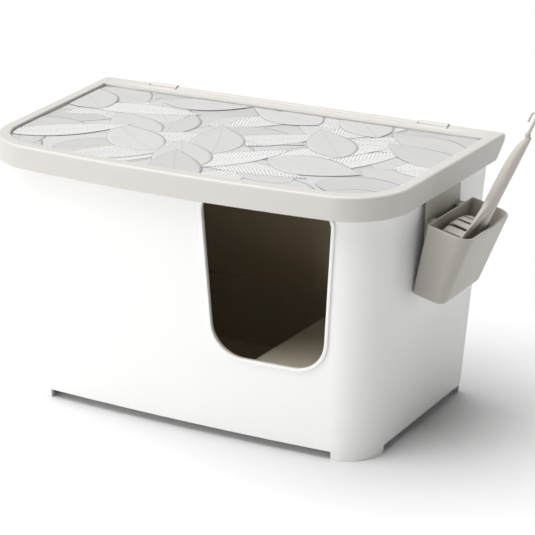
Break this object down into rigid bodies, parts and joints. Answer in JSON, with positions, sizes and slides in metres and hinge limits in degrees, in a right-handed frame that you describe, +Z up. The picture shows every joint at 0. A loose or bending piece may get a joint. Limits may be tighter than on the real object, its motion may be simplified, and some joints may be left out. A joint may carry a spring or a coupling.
{
  "type": "hooded cat litter box",
  "caption": "Hooded cat litter box: tapered body with a front doorway, lift-out tray and step, rear-hinged lid, and a hang-on holder with its scoop.",
  "frame": {"origin": "middle of the whole footprint at floor level, with the holder and the scoop counted in", "axes": "+Z up, -Y out of the front with the doorway, +X to the side that carries the scoop holder"},
  "size_m": [0.6654, 0.3411, 0.4162],
  "materials": {
    "white_plastic": "satin white",
    "taupe_plastic": "matte taupe",
    "grey_plastic": "satin warm light grey",
    "printed_sheet": "matte pale grey print",
    "pin_steel": "plain",
    "holder_plastic": "satin warm grey",
    "scoop_plastic": "satin light taupe"
  },
  "bodies": {
    "box_body": {"body_shell": "white_plastic", "inner_lining": "taupe_plastic", "hinge_bracket_left": "grey_plastic", "hinge_bracket_right": "grey_plastic", "hinge_pin_left": "pin_steel", "hinge_pin_right": "pin_steel"},
    "lid": {"lid_frame": "grey_plastic", "lid_printed_sheet": "printed_sheet"},
    "tray": {"litter_tray": "taupe_plastic"},
    "platform": {"entry_platform": "taupe_plastic"},
    "holder": {"scoop_holder": "holder_plastic"},
    "loose_scoop": {"scoop": "scoop_plastic"}
  },
  "joints": [
    {"name": "lid_hinge", "type": "hinge", "parent": "box_body", "child": "lid", "pos_m": [-0.0477, 0.165, 0.3345], "axis": [-1, 0, 0], "range_deg": [0, 100]},
    {"name": "tray_lift", "type": "slide", "parent": "box_body", "child": "tray", "axis": [0, 0, 1], "range_m": [0, 0.11]},
    {"name": "platform_lift", "type": "slide", "parent": "tray", "child": "platform", "axis": [0, 0, 1], "range_m": [0, 0.08]},
    {"name": "holder_lift", "type": "slide", "parent": "box_body", "child": "holder", "axis": [0, 0, 1], "range_m": [0, 0.0065]},
    {"name": "scoop_slide", "type": "slide", "parent": "holder", "child": "loose_scoop", "axis": [0.4013, -0.0231, 0.9157], "range_m": [0, 0.11]}
  ]
}
